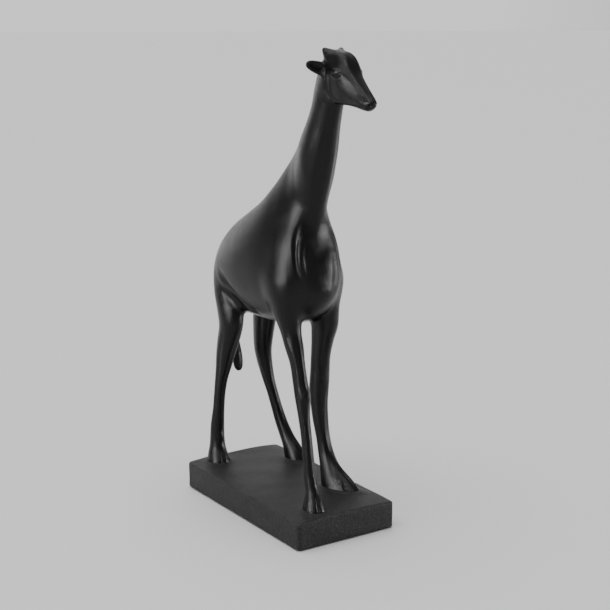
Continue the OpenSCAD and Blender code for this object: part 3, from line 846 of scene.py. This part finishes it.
def rounded_outline(length, width, radius, spacing, corner_steps):
    """Points and outward ways round a rectangle with round corners."""
    points, ways = [], []
    half = np.array((length / 2, width / 2)) - radius
    corners = ((1, 1), (-1, 1), (-1, -1), (1, -1))
    for k, corner in enumerate(corners):
        start = k * math.pi / 2
        for j in range(corner_steps + 1):
            angle = start + j * math.pi / 2 / corner_steps
            way = np.array((math.cos(angle), math.sin(angle)))
            points.append(half * corner + way * radius)
            ways.append(way)
        way = np.round((math.cos(start + math.pi / 2), math.sin(start + math.pi / 2)))
        end = half * corners[(k + 1) % 4] + way * radius
        count = int(np.linalg.norm(end - points[-1]) / spacing)
        first = points[-1]
        for j in range(1, count):
            points.append(first + (end - first) * j / count)
            ways.append(way)
    return np.array(points), np.array(ways)


def ring_mesh(name, rings, material):
    """A closed object of rings of equal length from the middle of the top to the middle of the base."""
    count = len(rings[0])
    first, last = rings[0].mean(0, keepdims=True), rings[-1].mean(0, keepdims=True)
    points = np.concatenate([first] + rings + [last])
    step = np.arange(count)
    turn = (step + 1) % count
    faces = [(0, 1 + a, 1 + b) for a, b in zip(step, turn)]
    for r in range(len(rings) - 1):
        base = 1 + r * count
        faces += [(base + a, base + count + a, base + count + b, base + b) for a, b in zip(step, turn)]
    base, end = 1 + (len(rings) - 1) * count, len(points) - 1
    faces += [(end, base + b, base + a) for a, b in zip(step, turn)]
    mesh = bpy.data.meshes.new(name)
    mesh.from_pydata((points * MM).tolist(), [], faces)
    mesh.shade_smooth()
    mesh.materials.append(material)
    obj = bpy.data.objects.new(name, mesh)
    bpy.context.scene.collection.objects.link(obj)
    return obj


def plinth_top(x, y):
    """Height of the crowned top, with a soft mound round each hoof."""
    across, along = 2 * (y - PLINTH_MIDDLE.y) / WIDTH, 2 * (x - PLINTH_MIDDLE.x) / LENGTH
    z = TOP - EDGE_DROP + CROWN * (1 - across**4) - FRONT_DROP * np.clip(along, 0, 1) ** 4
    broad, fine = np.sin(0.061 * x + 0.9) * np.sin(0.083 * y + 0.4), np.sin(0.17 * x - 0.11 * y)
    z = z + UNEVEN * (broad + 0.5 * fine)
    for hx, hy, _, long, wide, yaw in HOOVES:
        c, s = math.cos(math.radians(yaw)), math.sin(math.radians(yaw))
        u, v = ((x - hx) * c + (y - hy) * s) / long, (-(x - hx) * s + (y - hy) * c) / wide
        d = (np.sqrt(u * u + v * v) - 1) * (long + wide) / 2
        z = z + MOUND * np.exp(-np.maximum(d, 0) / MOUND_FADE)
    return z


def plinth_mesh():
    """The plinth from the middle of its top over its eased edges to the middle of its base."""
    top_rings, side_rings, spacing = 64, 15, 1.6
    inset = 2 * EASE + 2 * UNEVEN
    line, ways = rounded_outline(LENGTH - inset, WIDTH - inset, CORNER - EASE, spacing, 6)
    middle = np.array((PLINTH_MIDDLE.x, PLINTH_MIDDLE.y))
    rings = []
    for k in range(1, top_rings + 1):
        at = middle + line * (k / top_rings)
        rings.append(np.column_stack([at, plinth_top(at[:, 0], at[:, 1])]))
    edge = rings[-1]
    for t in np.radians((22.5, 45, 67.5, 90)):
        ring = edge.copy()
        ring[:, :2] += ways * EASE * math.sin(t)
        ring[:, 2] -= EASE * (1 - math.cos(t))
        rings.append(ring)
    wall = rings[-1]
    foot = BOTTOM + FOOT_EASE
    for k in range(1, side_rings + 1):
        ring = wall.copy()
        ring[:, 2] += (foot - wall[:, 2]) * k / side_rings
        x, y, z = ring.T
        wave = np.sin(0.07 * x + 0.21 * z) * np.sin(0.09 * y + 0.13 * z + 1)
        ring[:, :2] += ways * (UNEVEN * wave * min(1, 3 * k / side_rings))[:, None]
        rings.append(ring)
    low = rings[-1]
    for t in np.radians((30, 60, 90)):
        ring = low.copy()
        ring[:, :2] -= ways * FOOT_EASE * (1 - math.cos(t))
        ring[:, 2] -= FOOT_EASE * math.sin(t)
        rings.append(ring)
    base = rings[-1]
    for k in (0.98, 0.6, 0.2):
        ring = base.copy()
        ring[:, :2] = middle + (base[:, :2] - middle) * k
        rings.append(ring)
    return ring_mesh("plinth_casting", rings, PLINTH)


def felt_mesh(low, high):
    """The felt sheet glued under the plinth, with a slightly ragged edge."""
    length, width = (high.x - low.x) / MM, (high.y - low.y) / MM
    middle = np.array((low.x + high.x, low.y + high.y)) / 2 / MM
    low_z, high_z, spacing = low.z / MM, high.z / MM, 1.2
    line, ways = rounded_outline(
        length - 2 * FELT_RAGGED, width - 2 * FELT_RAGGED, FELT_CORNER, spacing, 4)
    ragged = FELT_RAGGED * np.sin(2.1 * line[:, 0] + 1) * np.sin(1.7 * line[:, 1] + 2)
    top = [(0.3, 0, high_z), (0.7, 0, high_z), (1, FELT_ROUND, high_z), (1, 0, high_z - FELT_ROUND)]
    under = [(1, 0, low_z + FELT_ROUND), (1, FELT_ROUND, low_z), (0.7, 0, low_z), (0.3, 0, low_z)]
    rings = []
    for share, inset, z in top + under:
        at = middle + (line + ways * (ragged - inset)[:, None]) * share
        rings.append(np.column_stack([at, np.full(len(at), z)]))
    return ring_mesh("felt_sheet", rings, FELT)


place(plinth_mesh(), "plinth")

felt_low, felt_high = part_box("felt_pad")
felt_sheet = felt_mesh(felt_low, felt_high)
place(felt_sheet, "felt_pad")

# ---------------------------------------------------------------------------
# Steel pieces, which keep the CAD's shapes
# ---------------------------------------------------------------------------
STEEL_NODES = {
    "bright_steel": (STEEL, ("neck_dowel", "head_pin", "tail_wire", "front_left_rod",
                             "front_right_rod", "hind_left_rod", "hind_right_rod")),
    "zinc_plated_steel": (ZINC, ("rod_washers", "rod_nuts")),
}
for slot, (material, names) in STEEL_NODES.items():
    for name in names:
        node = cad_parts[name]
        node.data.materials.clear()
        node.data.materials.append(material)

# ---------------------------------------------------------------------------
# Studio
# ---------------------------------------------------------------------------
floor_material, nodes, links, shader = new_material("pale_floor")
shader.inputs["Base Color"].default_value = (0.85, 0.85, 0.85, 1)
shader.inputs["Roughness"].default_value = 0.9
FLOOR_SIZE, FLOOR_GAP = 120, 0.0002
bpy.ops.mesh.primitive_plane_add(size=FLOOR_SIZE, location=(0, 0, cad_low.z - FLOOR_GAP))
floor = bpy.context.object
floor.name = "floor"
floor.data.materials.append(floor_material)

# The sky is dim, apart from a backdrop behind the figure as bright as the floor.
SKY, BACKDROP = 0.3, 0.98
BACKDROP_WAY, BACKDROP_EDGE, BACKDROP_FULL = (-0.94, 0.34, 0.08), 0.75, 0.93
world = bpy.context.scene.world or bpy.data.worlds.new("World")
bpy.context.scene.world = world
world.use_nodes = True
nodes, links = world.node_tree.nodes, world.node_tree.links
background = nodes["Background"]
background.inputs["Color"].default_value = (1, 1, 1, 1)
direction = nodes.new("ShaderNodeTexCoord")
toward = nodes.new("ShaderNodeVectorMath")
toward.operation = "DOT_PRODUCT"
toward.inputs[1].default_value = BACKDROP_WAY
links.new(direction.outputs["Generated"], toward.inputs[0])
strength = ramp(nodes, links, toward.outputs["Value"], BACKDROP_EDGE, BACKDROP_FULL, SKY, BACKDROP)
links.new(strength, background.inputs["Strength"])

TARGET = Vector((0, 0.0175, 0.174))


def compass(azimuth, elevation):
    """The way from the figure at so many degrees round from its right side, and up."""
    a, e = math.radians(azimuth), math.radians(elevation)
    return Vector((math.sin(a) * math.cos(e), -math.cos(a) * math.cos(e), math.sin(e)))


def softbox(name, azimuth, elevation, width, height, radiance, roll=0.0, distance=2.2):
    """A rectangular light that faces the figure.
    Only reflections show it, so that the floor stays even."""
    way = compass(azimuth, elevation)
    data = bpy.data.lights.new(name, "AREA")
    data.shape = "RECTANGLE"
    data.size, data.size_y = width, height
    data.energy = radiance * math.pi * width * height
    light = bpy.data.objects.new(name, data)
    light.location = TARGET + way * distance
    light.rotation_mode = "QUATERNION"
    light.rotation_quaternion = way.to_track_quat("Z", "Y") @ Quaternion((0, 0, 1), math.radians(roll))
    light.visible_diffuse = False
    light.visible_camera = False
    bpy.context.scene.collection.objects.link(light)


softbox("key_strip", azimuth=-1, elevation=15, width=0.8, height=0.4, radiance=44, roll=-8)
softbox("left_strip", azimuth=147, elevation=3, width=0.45, height=0.4, radiance=60)
softbox("rear_strip", azimuth=277, elevation=5, width=1.1, height=0.7, radiance=1.1, distance=2.6)
softbox("temple_light", azimuth=37, elevation=50, width=0.35, height=0.35, radiance=40)
softbox("nose_light", azimuth=-5, elevation=41, width=0.3, height=0.3, radiance=9)

sun_data = bpy.data.lights.new("overhead", "SUN")
sun_data.energy = 2.4
sun_data.angle = math.radians(70)
sun = bpy.data.objects.new("overhead", sun_data)
sun.rotation_euler = (math.radians(8), math.radians(-6), 0)
bpy.context.scene.collection.objects.link(sun)

CAMERA_AZIMUTH, CAMERA_ELEVATION, CAMERA_DISTANCE, LENS = 56.4, 12.2, 1.087, 76.72
back = compass(CAMERA_AZIMUTH, CAMERA_ELEVATION)
camera_data = bpy.data.cameras.new("camera")
camera_data.lens = LENS
camera_data.sensor_width = 36
camera = bpy.data.objects.new("camera", camera_data)
camera.location = TARGET + back * CAMERA_DISTANCE
camera.rotation_mode = "QUATERNION"
camera.rotation_quaternion = (-back).to_track_quat("-Z", "Y")
bpy.context.scene.collection.objects.link(camera)
bpy.context.scene.camera = camera
